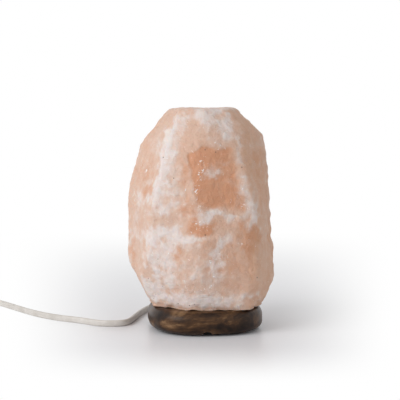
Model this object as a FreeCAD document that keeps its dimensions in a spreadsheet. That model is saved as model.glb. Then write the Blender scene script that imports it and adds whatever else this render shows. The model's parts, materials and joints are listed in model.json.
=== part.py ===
# Salt crystal lamp: a chiselled block of rock salt on a dark wooden base, lit from inside by a
# small screw bulb. Millimetres, +Z up, table at z = 0, origin at the middle of the lamp's footprint.
# The front of the lamp faces -Y.
import FreeCAD
import Part
import Sketcher
import math
import os
import re

from FreeCAD import Placement, Rotation, Vector

doc = FreeCAD.newDocument("SaltCrystalLamp")
sheet = doc.addObject("Spreadsheet::Sheet", "Sizes")

# ---------------------------------------------------------------- driving dimensions
sizes = {
    # lamp body
    "axisX": 6, "axisY": -3,                # upright axis of the bore, the holder and the bulb
    "padRadius": 6, "padThick": 1, "padCircle": 35,
    "baseX": 4, "baseY": -3,                # middle of the base's plan
    "baseHalfX": 49.3, "baseHalfY": 52, "baseSquareness": 2.5, "baseTurn": 7,
    "baseHigh": 19.5, "baseRoundLow": 6.5, "baseRoundTop": 8,
    "boreRadius": 20, "grooveWide": 8.5, "grooveDeep": 7, "grooveShallow": 3.4,
    "crystalTop": 190, "crystalBlank": 160, "ridgeRound": 7,
    "waistAt": 90, "shoulderAt": 150, "crownAt": 185, "heelAt": 35,
    "cavityRadius": 22, "cavityDomeAt": 92,
    "screwApart": 31, "screwHole": 2.3, "screwSink": 5, "screwSinkDeep": 6,
    "screwShank": 2, "screwHead": 4, "screwHeadHigh": 2.5, "screwLong": 33,
    "dowelRadius": 3.9, "dowelHole": 4, "dowelLong": 26,
    # bulb holder, heights above the table
    "capLow": 10.5, "capFloor": 12.5, "capLedge": 23, "capRim": 28,
    "capLedgeRadius": 9.6, "skirtRadius": 11.2, "skirtRoom": 0.2,
    "holderRadius": 13, "shellTop": 60, "lipRadius": 8.2, "cordHole": 3.1,
    "coreRadius": 10.2, "coreTop": 34, "bossRadius": 6.2, "bossTop": 37,
    "slotIn": 5.5, "slotTop": 31, "slotHalf": 2.6,
    "threadIn": 7.05, "threadOut": 7.4, "threadTop": 57.5, "threadFlange": 9,
    "tongueThick": 0.6, "tongueIn": 6, "tongueHalf": 1.5,
    "blockIn": 5.7, "blockOut": 8.6, "blockLow": 25.5, "blockTop": 30, "blockHalf": 2.3,
    "blockScrew": 1.2, "blockScrewHead": 1.9, "blockScrewAt": 27.6,
    "gripTop": 15.5, "gripRadius": 6, "gripHole": 3,
    "clipWide": 10, "clipThick": 0.6, "clipHole": 3.7,
    "clipArm": 13.9, "clipKnee": 24, "clipReach": 18.7, "clipTipAt": 12,
    # bulb
    "tipLow": 38, "tipTop": 39.6, "tipRadius": 2.4, "coneTop": 43,
    "bulbCapEnd": 62, "bulbCapRadius": 6.7, "bulbCapWall": 0.45,
    "glassLow": 60.4, "glassRadius": 11, "glassTop": 92, "glassWall": 0.7, "neckRadius": 6.4,
    "neckTop": 63, "shoulderTop": 73, "stemTop": 74, "filamentAt": 83, "filamentReach": 6,
    # cord and its coil
    "cordRadius": 2.8, "wireRadius": 1.05, "sheathEnd": 17, "wireApart": 1.4,
    "coilX": -282.4, "coilY": 57, "coilRadius": 31, "coilLow": 0.8, "coilTurnsWide": 3, "coilLayers": 2,
    "tieWide": 5, "tieThick": 0.6, "tieGap": 0.1, "tieTurn": -50,
    # in-line switch
    "switchX": -251.7, "switchY": 115.3, "switchTurn": 172,
    "switchLong": 62, "switchWide": 24, "switchHigh": 17, "switchSplit": 8, "switchWall": 1.8,
    "switchCorner": 7, "switchCordAt": 6, "rockerHalf": 8.4, "rockerWide": 9, "rockerPivotAt": 14,
    "rockerTilt": 8, "rockerPin": 1, "pegReach": 6.8, "openingHalf": 9, "openingWide": 9.6,
    "seesawHalf": 7, "seesawWide": 4, "seesawThick": 0.6, "seesawAt": 5.6, "seesawTilt": 7, "seesawPivot": 0.5,
    "switchScrewX": 20, "switchScrewY": 7.5, "clampAt": 25.5, "clampThick": 3,
    # plug
    "plugX": -313, "plugY": 18, "plugTurn": -90, "plugThick": 13.7, "plugHalf": 17.65, "plugEnd": 57,
    "reliefLong": 22, "reliefThin": 3.4, "reliefThick": 6.2,
    "pinRadius": 2, "pinNeck": 1.5, "pinRoot": 49, "pinTip": 67, "pinEnd": 76, "pinHalf": 9.3,
}
for row, (alias, value) in enumerate(sizes.items(), start=1):
    sheet.set(f"A{row}", alias)
    sheet.set(f"B{row}", str(value))
    sheet.setAlias(f"B{row}", alias)
doc.recompute()

nodes = {}


# ---------------------------------------------------------------- helpers
def bound(text):
    """Expression text in which every word is read from the sheet."""
    return re.sub(r"[A-Za-z]\w*", lambda word: "Sizes." + word.group(0), str(text))


def size(text):
    """The number that an expression gives now."""
    return float(sheet.evalExpression(bound(text)))


def keep(node, part):
    """Name a finished sub-part after its node."""
    part.Label = node
    nodes[node] = part
    return part


def place(part, x="0", y="0", z="0"):
    for letter, text in zip("xyz", (x, y, z)):
        part.setExpression(f"Placement.Base.{letter}", bound(text))
    return part


def moved(part, x, y, z, turn):
    """Put a piece that is modelled about its own origin where it lies."""
    part.Placement = Placement(Vector(x, y, z), Rotation(Vector(0, 0, 1), turn))
    return part


def on_axis(x, y, z):
    """Expressions for a point counted from the holder's axis."""
    return (f"axisX + ({x})", f"axisY + ({y})", str(z))


def solid(kind, name, at, **lengths):
    """A primitive whose lengths and place are bound to the sheet."""
    part = doc.addObject(f"Part::{kind}", name)
    for length, text in lengths.items():
        part.setExpression(length, bound(text))
    return place(part, *at)


def box(name, low, long, wide, high):
    return solid("Box", name, low, Length=long, Width=wide, Height=high)


def rod(name, at, radius, length, toward="+Z"):
    """A cylinder from a point along one of the axes."""
    part = solid("Cylinder", name, at, Radius=radius, Height=length)
    turns = {"+X": (Vector(0, 1, 0), 90), "-X": (Vector(0, 1, 0), -90), "+Y": (Vector(1, 0, 0), -90)}
    if toward in turns:
        part.Placement.Rotation = Rotation(*turns[toward])
    return part


def fused(name, parts):
    part = doc.addObject("Part::MultiFuse", name)
    part.Shapes = parts
    return part


def cut(name, base, tools):
    part = doc.addObject("Part::Cut", name)
    part.Base = base
    part.Tool = tools[0] if len(tools) == 1 else fused(name + "Tools", tools)
    return part


def group(name, parts):
    part = doc.addObject("Part::Compound", name)
    part.Links = parts
    return part


def feature(name, shape):
    part = doc.addObject("Part::Feature", name)
    part.Shape = shape
    return part


def softened(name, base, rules):
    """Round the edges that a rule picks, each rule being (test of an edge's box, radius)."""
    doc.recompute()
    part = doc.addObject("Part::Fillet", name)
    part.Base = base
    chosen = []
    for number, edge in enumerate(base.Shape.Edges, start=1):
        for test, radius in rules:
            if test(edge.BoundBox):
                chosen.append((number, size(radius), size(radius)))
                break
    part.Edges = chosen
    return part


def origin_part(body, role):
    return next(item for item in body.Origin.OriginFeatures if item.Role == role)


def sketch_outline(body, role, corners):
    """A closed outline of straight lines; each corner's two distances are bound to the sheet."""
    sketch = body.newObject("Sketcher::SketchObject", body.Name + "Outline")
    sketch.AttachmentSupport = [(origin_part(body, role), "")]
    sketch.MapMode = "FlatFace"
    spots = [Vector(size(a), size(b), 0) for a, b in corners]
    count = len(spots)
    for i in range(count):
        sketch.addGeometry(Part.LineSegment(spots[i], spots[(i + 1) % count]), False)
    for i in range(count):
        sketch.addConstraint(Sketcher.Constraint("Coincident", i, 2, (i + 1) % count, 1))
    for i, corner in enumerate(corners):
        for kind, text, axis in (("DistanceX", corner[0], -2), ("DistanceY", corner[1], -1)):
            if abs(size(text)) < 1e-9:
                sketch.addConstraint(Sketcher.Constraint("PointOnObject", i, 1, axis))
            else:
                number = sketch.addConstraint(Sketcher.Constraint(kind, i, 1, size(text)))
                sketch.setExpression(f"Constraints[{number}]", bound(text))
    return sketch


def turned(name, corners):
    """A piece turned about the holder's axis from (radius, height) corners."""
    body = doc.addObject("PartDesign::Body", name)
    sketch = sketch_outline(body, "XZ_Plane", corners)
    turn = body.newObject("PartDesign::Revolution", name + "Turn")
    turn.Profile = sketch
    turn.ReferenceAxis = (sketch, ["V_Axis"])
    turn.Angle = 360
    return place(body, "axisX", "axisY")


def padded(name, role, corners, length):
    """A piece of one outline, as thick each way from its plane."""
    body = doc.addObject("PartDesign::Body", name)
    sketch = sketch_outline(body, role, corners)
    pad = body.newObject("PartDesign::Pad", name + "Pad")
    pad.Profile = sketch
    pad.Midplane = True
    pad.setExpression("Length", bound(length))
    return body


def wire_run(points, radius):
    """Thin round wire along straight runs, with ball joints at its knees."""
    spots = [Vector(*point) for point in points]
    shapes = [Part.makeCylinder(radius, (b - a).Length, a, b - a) for a, b in zip(spots, spots[1:])]
    shapes += [Part.makeSphere(radius, knee) for knee in spots[1:-1]]
    return shapes[0] if len(shapes) == 1 else shapes[0].multiFuse(shapes[1:]).removeSplitter()


# ---------------------------------------------------------------- wooden base
def base_plan():
    """Near-round plan with full corners, as a block is sawn and rounded by hand."""
    half_x, half_y, power = size("baseHalfX"), size("baseHalfY"), size("baseSquareness")
    spots = []
    for step in range(24):
        angle = step * math.pi / 12
        reach = (abs(math.cos(angle) / half_x) ** power + abs(math.sin(angle) / half_y) ** power) ** (-1 / power)
        spots.append(Vector(reach * math.cos(angle), reach * math.sin(angle), 0))
    curve = Part.BSplineCurve()
    curve.interpolate(spots, PeriodicFlag=True)
    return Part.Face(Part.Wire(curve.toShape()))


def make_base():
    plan = feature("BasePlan", base_plan())
    moved(plan, size("baseX"), size("baseY"), size("padThick"), size("baseTurn"))
    slab = doc.addObject("Part::Extrusion", "BaseSlab")
    slab.Base = plan
    slab.DirMode = "Custom"
    slab.Dir = Vector(0, 0, 1)
    slab.Solid = True
    slab.setExpression("LengthFwd", bound("baseHigh"))
    half_way = size("padThick + baseHigh / 2")
    rounded = softened("BaseRounded", slab, [
        (lambda edge: edge.ZLength < 0.1 and edge.ZMax < half_way, "baseRoundLow"),
        (lambda edge: edge.ZLength < 0.1 and edge.ZMin > half_way, "baseRoundTop")])

    # the cord's groove: deep from the bore to the back, and the cutter's shallow run-out to the front
    arch = "(grooveWide * grooveWide / 4 + grooveShallow * grooveShallow) / (2 * grooveShallow)"
    low = "axisX - grooveWide / 2"
    tools = [
        rod("BaseBore", on_axis(0, 0, 0), "boreRadius", "baseHigh + 5"),
        rod("GrooveFront", ("axisX", "axisY - 70", f"padThick + grooveShallow - {arch}"), arch, "70", "+Y"),
        rod("GrooveArch", ("axisX", "axisY", "padThick + grooveDeep - grooveWide / 2"),
            "grooveWide / 2", "70", "+Y"),
        box("GrooveSlot", (low, "axisY", "-1"), "grooveWide", "70", "padThick + grooveDeep - grooveWide / 2 + 1"),
    ]
    for side in (-1, 1):
        spot = on_axis(f"{side} * screwApart", 0, 0)
        tools.append(rod("ScrewHole", spot, "screwHole", "baseHigh + 5"))
        tools.append(rod("ScrewSink", spot, "screwSink", "padThick + screwSinkDeep"))
    keep("wood_base", cut("WoodBase", rounded, tools))

    corners = {"back_right": (1, 1), "back_left": (-1, 1), "front_left": (-1, -1), "front_right": (1, -1)}
    for corner, (x, y) in corners.items():
        at = (f"baseX + {x} * padCircle * 0.7071", f"baseY + {y} * padCircle * 0.7071", "0")
        keep("felt_pad_" + corner, rod("Pad", at, "padRadius", "padThick"))


# ---------------------------------------------------------------- salt crystal
# Each ring of chisel facets has its height, and the corners of the outline that it leaves there.
# A facet runs from its corner to the next one, and leans back by its degrees.
rings = {
    "waistAt": [(-64, 8, 1), (-43.5, -43, 4), (-2, -56, 5), (47.5, -44, 4), (62.3, -2, 3.5),
                (59.5, 25, 4), (31, 53, 3), (-13, 58, 3), (-50, 37, 1)],
    "shoulderAt": [(-55, 7, 16), (-31.5, -38, 12), (-1, -48.5, 12), (36.5, -39, 14), (58, -4, 9),
                   (57, 26, 15), (28, 44.5, 14), (-13, 50, 14), (-44, 31, 13)],
    "crownAt": [(-31.5, 5, 36), (-18, -29, 24), (3, -36, 24), (26.5, -28, 42), (36.5, -3, 48),
                (34, 16, 40), (16, 32, 32), (-11, 33, 30), (-24, 22, 36)],
    "heelAt": [(-52, 4, -26), (-47, -25, -22), (-12, -52, -16), (46, -47, -20), (61.3, -10, -27),
               (60, 25, -22), (36, 48, -18), (-6, 54, -20), (-42, 33, -25)],
}


def make_crystal():
    low = "padThick + baseHigh"
    half = "-crystalBlank / 2"
    block = box("SaltBlank", (half, half, low), "crystalBlank", "crystalBlank", f"crystalTop - ({low})")
    blade = size("crystalBlank")
    for ring, corners in rings.items():
        height = size(ring)
        for (x, y, lean), (next_x, next_y, _) in zip(corners, corners[1:] + corners[:1]):
            outward = Vector(next_y - y, x - next_x, 0).normalize()
            tilt = math.radians(lean)
            normal = outward * math.cos(tilt) + Vector(0, 0, math.sin(tilt))
            chip = doc.addObject("Part::Box", "Chip")
            for length in ("Length", "Width", "Height"):
                chip.setExpression(length, bound("2 * crystalBlank"))
            seat = Placement(Vector(x, y, height), Rotation(Vector(0, 0, 1), normal))
            chip.Placement = seat.multiply(Placement(Vector(-blade, -blade, 0), Rotation()))
            block = cut("Chiselled", block, [chip])
    floor = size(low)
    worn = softened("SaltWorn", block, [(lambda edge: edge.ZMin > floor + 0.1, "ridgeRound")])
    tools = [rod("Cavity", on_axis(0, 0, f"{low} - 1"), "cavityRadius", f"cavityDomeAt - ({low}) + 1"),
             solid("Sphere", "CavityDome", on_axis(0, 0, "cavityDomeAt"), Radius="cavityRadius")]
    for side in (-1, 1):
        tools.append(rod("DowelHole", on_axis(f"{side} * screwApart", 0, f"{low} - 1"), "dowelHole", "dowelLong + 3"))
    keep("salt_crystal", cut("SaltCrystal", worn, tools))

    screws, dowels = [], []
    for side in (-1, 1):
        x = f"{side} * screwApart"
        seat = "padThick + screwSinkDeep"
        head = rod("ScrewHead", on_axis(x, 0, f"{seat} - screwHeadHigh"), "screwHead", "screwHeadHigh")
        shank = rod("ScrewShank", on_axis(x, 0, f"{seat} - 0.5"), "screwShank", "screwLong + 0.5")
        screws.append(fused("BaseScrew", [head, shank]))
        sleeve = rod("DowelOut", on_axis(x, 0, low), "dowelRadius", "dowelLong")
        hole = rod("DowelIn", on_axis(x, 0, f"{low} - 1"), "screwShank + 0.05", f"{seat} + screwLong + 2 - ({low})")
        dowels.append(cut("Dowel", sleeve, [hole]))
    keep("base_screws", group("BaseScrews", screws))
    keep("crystal_dowels", group("CrystalDowels", dowels))


# ---------------------------------------------------------------- bulb holder
def make_holder():
    keep("holder_cap", turned("HolderCap", [
        ("cordHole", "capLow"), ("holderRadius - 2", "capLow"), ("holderRadius", "capLow + 2"),
        ("holderRadius", "capRim"), ("skirtRadius + skirtRoom", "capRim"), ("skirtRadius + skirtRoom", "capLedge"),
        ("capLedgeRadius", "capLedge"), ("capLedgeRadius", "capFloor"), ("cordHole", "capFloor")]))
    inner = "skirtRadius - 0.8"
    keep("holder_shell", turned("HolderShell", [
        (inner, "capLedge"), ("skirtRadius", "capLedge"), ("skirtRadius", "capRim"), ("holderRadius", "capRim"),
        ("holderRadius - 0.6", "shellTop - 1.5"), ("holderRadius - 2", "shellTop"), ("lipRadius", "shellTop"),
        ("lipRadius", "threadTop + 0.5"), (inner, "threadTop - 2")]))

    # insulating core: a slot on each side for a terminal block, and a slit for each brass strip
    disc = turned("CoreDisc", [("0", "capLedge"), ("coreRadius", "capLedge"), ("coreRadius", "coreTop"),
                               ("bossRadius", "coreTop"), ("bossRadius", "bossTop"), ("0", "bossTop")])
    tools = []
    for x in ("slotIn", "-slotIn - 6"):
        tools.append(box("CoreSlot", on_axis(x, "-slotHalf", "capLedge - 1"), "6", "2 * slotHalf",
                         "slotTop - capLedge + 1"))
    tools.append(box("TongueSlit", on_axis("-tongueIn - tongueThick - 0.2", "-tongueHalf - 0.2", "blockTop"),
                     "tongueThick + 0.4", "2 * tongueHalf + 0.4", "9"))
    tools.append(box("TabSlit", on_axis("threadIn - 0.1", "-tongueHalf - 0.2", "blockTop"),
                     "threadOut - threadIn + 0.4", "2 * tongueHalf + 0.4", "coreTop - blockTop + 1"))
    keep("holder_core", cut("HolderCore", disc, tools))

    sleeve = turned("ThreadSleeve", [
        ("threadIn", "coreTop"), ("threadFlange", "coreTop"), ("threadFlange", "coreTop + 0.4"),
        ("threadOut", "coreTop + 0.4"), ("threadOut", "threadTop"), ("threadIn", "threadTop")])
    tab = box("ThreadTab", on_axis("threadIn + 0.1", "-tongueHalf", "blockTop"), "threadOut - threadIn",
              "2 * tongueHalf", "coreTop - blockTop + 0.2")
    keep("thread_sleeve", fused("ThreadContact", [sleeve, tab]))

    leg = box("TongueLeg", on_axis("-tongueIn - tongueThick", "-tongueHalf", "blockTop"), "tongueThick",
              "2 * tongueHalf", "tipLow - blockTop")
    tip = box("TongueTip", on_axis("-tongueIn - tongueThick", "-tongueHalf", "tipLow - tongueThick"),
              "tongueIn + tongueThick + 2.5", "2 * tongueHalf", "tongueThick")
    keep("centre_contact", fused("CentreContact", [leg, tip]))

    blocks, screws = [], []
    for side, low, toward in ((1, "blockIn", "+X"), (-1, "-blockOut", "-X")):
        block = box("Block", on_axis(low, "-blockHalf", "blockLow"), "blockOut - blockIn", "2 * blockHalf",
                    "blockTop - blockLow")
        hole = rod("BlockHole", on_axis(f"{side} * (blockIn + 0.4)", 0, "blockScrewAt"),
                   "blockScrew + 0.05", "6", toward)
        blocks.append(cut("TerminalBlock", block, [hole]))
        shank = rod("BlockScrewShank", on_axis(f"{side} * (blockIn + 0.5)", 0, "blockScrewAt"),
                    "blockScrew", "blockOut - blockIn", toward)
        head = rod("BlockScrewHead", on_axis(f"{side} * blockOut", 0, "blockScrewAt"), "blockScrewHead", "1", toward)
        screws.append(fused("TerminalScrew", [shank, head]))
    keep("terminal_blocks", group("TerminalBlocks", blocks))
    keep("terminal_screws", group("TerminalScrews", screws))

    collar = turned("GripCollar", [("gripHole", "capFloor"), ("gripRadius", "capFloor"),
                                   ("gripRadius", "gripTop"), ("gripHole", "gripTop")])
    split = box("GripSplit", on_axis(0, -0.6, "capFloor - 1"), "10", "1.2", "6")
    keep("cord_grip", cut("CordGrip", collar, [split]))

    middle = Vector(size("axisX"), size("axisY"), 0)
    for node, side in (("live_core", -1), ("neutral_core", 1)):
        near, far = side * size("wireApart"), side * (size("blockIn") + 1.5)
        start = size("sheathEnd")
        points = [(near, 0, start), (near, 0, start + 1.2), (far, 0, size("capLedge") - 0.4),
                  (far, 0, size("blockLow"))]
        core = feature(node, wire_run(points, size("wireRadius")))
        core.Placement.Base = middle
        keep(node, core)


def strip_outline(points, thickness):
    """Closed outline of a bent strip from its middle line, mitred at the bends."""
    spots = [Vector(x, 0, z) for x, z in points]
    near, far = [], []
    for i, spot in enumerate(spots):
        before = (spot - spots[i - 1]).normalize() if i else None
        after = (spots[i + 1] - spot).normalize() if i + 1 < len(spots) else None
        along = (before or after) + (after or before)
        along.normalize()
        side = Vector(-along.z, 0, along.x)
        stretch = 1 / side.dot(Vector(-(before or after).z, 0, (before or after).x))
        near.append(spot + side * (stretch * thickness / 2))
        far.append(spot - side * (stretch * thickness / 2))
    return near + far[::-1]


def make_clip():
    """One spring strip: a bridge under the cap, two arms, and wings that grip the bore."""
    arm, knee, reach, tip = size("clipArm"), size("clipKnee"), size("clipReach"), size("clipTipAt")
    half = [(arm, size("capLow - clipThick / 2")), (arm, knee), (arm + 1.1, knee + 0.9),
            (arm + 2.3, knee), (reach, tip + 2), (reach - 0.8, tip)]
    points = [(-x, z) for x, z in half[::-1]] + half
    outline = strip_outline(points, size("clipThick"))
    face = Part.Face(Part.makePolygon(outline + outline[:1]))
    strip = face.extrude(Vector(0, size("clipWide"), 0))
    strip.translate(Vector(0, -size("clipWide / 2"), 0))
    hole = Part.makeCylinder(size("clipHole"), 6, Vector(0, 0, size("capLow - 3")))
    clip = feature("SpringClip", strip.cut(hole))
    clip.Placement.Base = Vector(size("axisX"), size("axisY"), 0)
    keep("spring_clip", clip)


# ---------------------------------------------------------------- bulb
def glass_shape(inset):
    """Solid bulb form: straight neck, swelling shoulder, straight side and round top."""
    neck, side = size("neckRadius") - inset, size("glassRadius") - inset
    low, neck_top, shoulder = size("glassLow"), size("neckTop"), size("shoulderTop")
    dome = size("glassTop") - size("glassRadius")
    bulge = Vector(neck + 0.62 * (side - neck), 0, neck_top + 0.38 * (shoulder - neck_top))
    top = Vector(0, 0, dome + side)
    edges = [
        Part.LineSegment(Vector(0, 0, low), Vector(neck, 0, low)).toShape(),
        Part.LineSegment(Vector(neck, 0, low), Vector(neck, 0, neck_top)).toShape(),
        Part.Arc(Vector(neck, 0, neck_top), bulge, Vector(side, 0, shoulder)).toShape(),
        Part.LineSegment(Vector(side, 0, shoulder), Vector(side, 0, dome)).toShape(),
        Part.Arc(Vector(side, 0, dome), Vector(side * math.sqrt(0.5), 0, dome + side * math.sqrt(0.5)), top).toShape(),
        Part.LineSegment(top, Vector(0, 0, low)).toShape(),
    ]
    return Part.Face(Part.Wire(edges)).revolve(Vector(0, 0, 0), Vector(0, 0, 1), 360)


def make_bulb():
    keep("bulb_contact", turned("BulbContact", [
        ("0", "tipLow"), ("tipRadius - 0.8", "tipLow"), ("tipRadius", "tipLow + 0.8"),
        ("tipRadius", "tipTop"), ("0", "tipTop")]))
    wall = "bulbCapRadius - bulbCapWall"
    keep("bulb_insulator", turned("BulbInsulator", [
        ("0", "tipTop"), ("tipRadius + 0.6", "tipTop"), ("bulbCapRadius", "coneTop"), (f"{wall} - 0.05", "coneTop"),
        (f"{wall} - 0.05", "coneTop + 2"), ("0", "coneTop + 2")]))
    keep("bulb_cap", turned("BulbCap", [
        (wall, "coneTop"), ("bulbCapRadius", "coneTop"), ("bulbCapRadius", "bulbCapEnd - 4"),
        ("bulbCapRadius + 0.3", "bulbCapEnd - 2"), ("bulbCapRadius + 0.3", "bulbCapEnd"),
        ("neckRadius + 0.1", "bulbCapEnd"), ("neckRadius + 0.1", "glassLow - 0.1"), (wall, "glassLow - 0.6")]))

    outer, inner = glass_shape(0), glass_shape(size("glassWall"))
    envelope = feature("GlassEnvelope", outer.cut(inner))
    keep("glass_envelope", envelope)
    flare = "neckRadius - glassWall - 0.05"
    keep("glass_stem", turned("GlassStem", [
        ("0", "glassLow"), (flare, "glassLow"), (flare, "glassLow + 0.6"), ("2.2", "glassLow + 3.6"),
        ("1.7", "stemTop"), ("0", "stemTop")]))

    top, reach, ends = size("stemTop"), size("filamentReach"), size("filamentAt")
    leads = [wire_run([(s, 0, top), (1.4 * s, 0, top + 2), (reach * s, 0, ends)], 0.3) for s in (-1, 1)]
    keep("lead_wires", feature("LeadWires", Part.makeCompound(leads)))
    arc = [(reach * math.cos(a), 1.2 * math.sin(a), ends + 2.4 * math.sin(a))
           for a in [math.pi * step / 6 for step in range(7)]]
    keep("filament", feature("Filament", wire_run(arc, 0.25)))
    for part in (envelope, nodes["lead_wires"], nodes["filament"]):
        part.Placement.Base = Vector(size("axisX"), size("axisY"), 0)


# ---------------------------------------------------------------- in-line switch
def on_switch(part):
    return moved(part, size("switchX"), size("switchY"), 0, size("switchTurn"))


def middle_box(name, x, y, low, long, wide, high):
    """A box about an upright line, from its lowest height up."""
    return box(name, (f"{x} - ({long}) / 2", f"{y} - ({wide}) / 2", low), long, wide, high)


def housing(name, low, high, rim):
    """Half of the switch's housing before it is hollowed, rounded in plan and along its outer rim."""
    block = middle_box(name, 0, 0, low, "switchLong", "switchWide", f"{high} - ({low})")
    edge_low, edge_high = size(low), size(high)
    outer = edge_low if rim == "low" else edge_high
    return softened(name + "Rounded", block, [
        (lambda edge: edge.ZLength > 1, "switchCorner"),
        (lambda edge: edge.ZLength < 0.1 and abs(edge.ZMin - outer) < 0.1, "2.5")])


def hollow(name, low, high):
    """The room inside half of the housing, its corners rounded to keep the wall even."""
    block = middle_box(name, 0, 0, low, "switchLong - 2 * switchWall", "switchWide - 2 * switchWall", high)
    return softened(name + "Rounded", block, [(lambda edge: edge.ZLength > 1, "switchCorner - switchWall")])


def make_switch():
    screw_spots = (("-switchScrewX", "switchScrewY"), ("switchScrewX", "-switchScrewY"))
    cord_holes = [rod("CordHole", (x, "0", "switchCordAt"), "cordHole", "5", "+X")
                  for x in ("-switchLong / 2 - 2", "switchLong / 2 - 3")]

    # lower half: cord saddles and clamp posts, screw pillars, the rest for the see-saw
    shell = cut("TrayShell", housing("Tray", "0", "switchSplit", "low"), [hollow("TrayRoom", "switchWall", "switchHigh")])
    ribs = [shell, middle_box("SeesawRest", "seesawHalf", 0, "switchWall - 0.3", "2", "5", "2.7")]
    for end in (-1, 1):
        at = f"{end} * clampAt"
        ribs.append(middle_box("Saddle", at, 0, "switchWall - 0.3", "clampThick", "switchWide - 3", "1.6"))
        for side in (-1, 1):
            ribs.append(middle_box("ClampPost", at, f"{side} * 6", "switchWall - 0.3", "clampThick", "4",
                                   "switchCordAt + cordRadius + 0.1 - switchWall + 0.3"))
    for x, y in screw_spots:
        ribs.append(rod("TrayPillar", (x, y, "1"), "3.6", "switchSplit - 1"))
    tools = list(cord_holes)
    for x, y in screw_spots:
        tools.append(rod("TrayScrewHole", (x, y, "-1"), "1.6", "switchSplit + 2"))
        tools.append(rod("TrayScrewSink", (x, y, "-1"), "2.9", "2.9"))
    keep("switch_tray", on_switch(cut("SwitchTray", fused("TrayRibs", ribs), tools)))

    # upper half: rocker opening with a bored boss on each side
    lid = cut("LidShell", housing("Lid", "switchSplit", "switchHigh", "high"),
              [hollow("LidRoom", "switchSplit - 1", "switchHigh - switchWall - switchSplit + 1")])
    ribs = [lid]
    for side in (-1, 1):
        ribs.append(middle_box("RockerBoss", 0, f"{side} * 6", "11.5", "5", "2.4", "4"))
    for x, y in screw_spots:
        ribs.append(rod("LidPillar", (x, y, "switchSplit"), "3", "switchHigh - switchSplit - 1"))
    tools = [middle_box("RockerOpening", 0, 0, "switchHigh - 4", "2 * openingHalf", "openingWide", "6"),
             rod("RockerBore", ("0", "-6.2", "rockerPivotAt"), "rockerPin + 0.05", "12.4", "+Y")]
    tools += [rod("LidPilot", (x, y, "switchSplit - 1"), "1.3", "7") for x, y in screw_spots] + cord_holes
    keep("switch_cover", on_switch(cut("SwitchCover", fused("LidRibs", ribs), tools)))

    # rocker about its pivot: dished top, blind peg below, a stub pin each side
    corners = [("-rockerHalf", "3"), ("-rockerHalf / 2", "2.2"), ("0", "1.9"), ("rockerHalf / 2", "2.2"),
               ("rockerHalf", "3"), ("rockerHalf", "-1.2"), ("-rockerHalf", "-1.2")]
    peg = rod("RockerPeg", ("0", "0", "-pegReach"), "1", "pegReach - 1")
    pins = rod("RockerPins", ("0", "-6", "0"), "rockerPin", "12", "+Y")
    rocker = fused("Rocker", [padded("RockerKey", "XZ_Plane", corners, "rockerWide"), peg, pins,
                              solid("Sphere", "RockerPegEnd", ("0", "0", "-pegReach"), Radius="1")])
    seesaw = fused("SeesawBlade", [
        middle_box("SeesawBar", 0, 0, "-seesawThick / 2", "2 * seesawHalf", "seesawWide", "seesawThick"),
        rod("SeesawPivot", ("0", "-seesawWide / 2", "0"), "seesawPivot", "seesawWide", "+Y"),
        rod("SeesawRivet", ("-seesawHalf + 1.2", "0", "-0.7"), "1.1", "1")])
    for node, part, height, tilt in (("switch_rocker", rocker, "rockerPivotAt", "-rockerTilt"),
                                     ("seesaw_contact", seesaw, "seesawAt", "seesawTilt")):
        on_switch(part)
        lift = Placement(Vector(0, 0, size(height)), Rotation(Vector(0, 1, 0), size(tilt)))
        part.Placement = part.Placement.multiply(lift)
        keep(node, part)

    floor = "switchWall"
    fixed = middle_box("FixedContact", "-seesawHalf", 0, floor, "3", "5", "2.2")
    support = middle_box("SeesawSupport", 0, "1.5", floor, "2.4", "7", "3.2")
    keep("switch_contacts", on_switch(group("SwitchContacts", [fixed, support])))
    link = middle_box("NeutralLink", 0, "-6.7", floor, "20", "2.5", "2.7")
    keep("neutral_link", on_switch(group("NeutralStrip", [link])))
    clamps = [middle_box("CordClamp", f"{end} * clampAt", 0, "switchCordAt + cordRadius + 0.1", "clampThick",
                         "16", "2") for end in (-1, 1)]
    keep("cord_clamps", on_switch(group("CordClamps", clamps)))
    screws = [fused("SwitchScrew", [rod("SwitchScrewHead", (x, y, "0.3"), "2.6", "1.6"),
                                    rod("SwitchScrewShank", (x, y, "1"), "1.2", "12.5")]) for x, y in screw_spots]
    keep("switch_screws", on_switch(group("SwitchScrews", screws)))

    end, bend, wire, height = 21.8, 20.6, size("wireApart"), size("switchCordAt")
    runs = [[(-end, wire, height), (-bend, wire, height), (-8.9, wire, 3.4)],
            [(end, wire, height), (bend, wire, height), (11, 4.6, 3.8), (1.5, 4.3, 3.4)],
            [(-end, -wire, height), (-bend, -wire, height), (-14, -6.7, 3.5), (-10.3, -6.7, 3.2)],
            [(end, -wire, height), (bend, -wire, height), (15, -1.7, 5.8), (12, -6.7, 3.6), (10.3, -6.7, 3.2)]]
    cores = Part.makeCompound([wire_run(points, size("wireRadius")) for points in runs])
    keep("switch_cores", on_switch(feature("SwitchCores", cores)))


# ---------------------------------------------------------------- plug
def on_plug(part):
    return moved(part, size("plugX"), size("plugY"), size("plugThick / 2"), size("plugTurn"))


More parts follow.
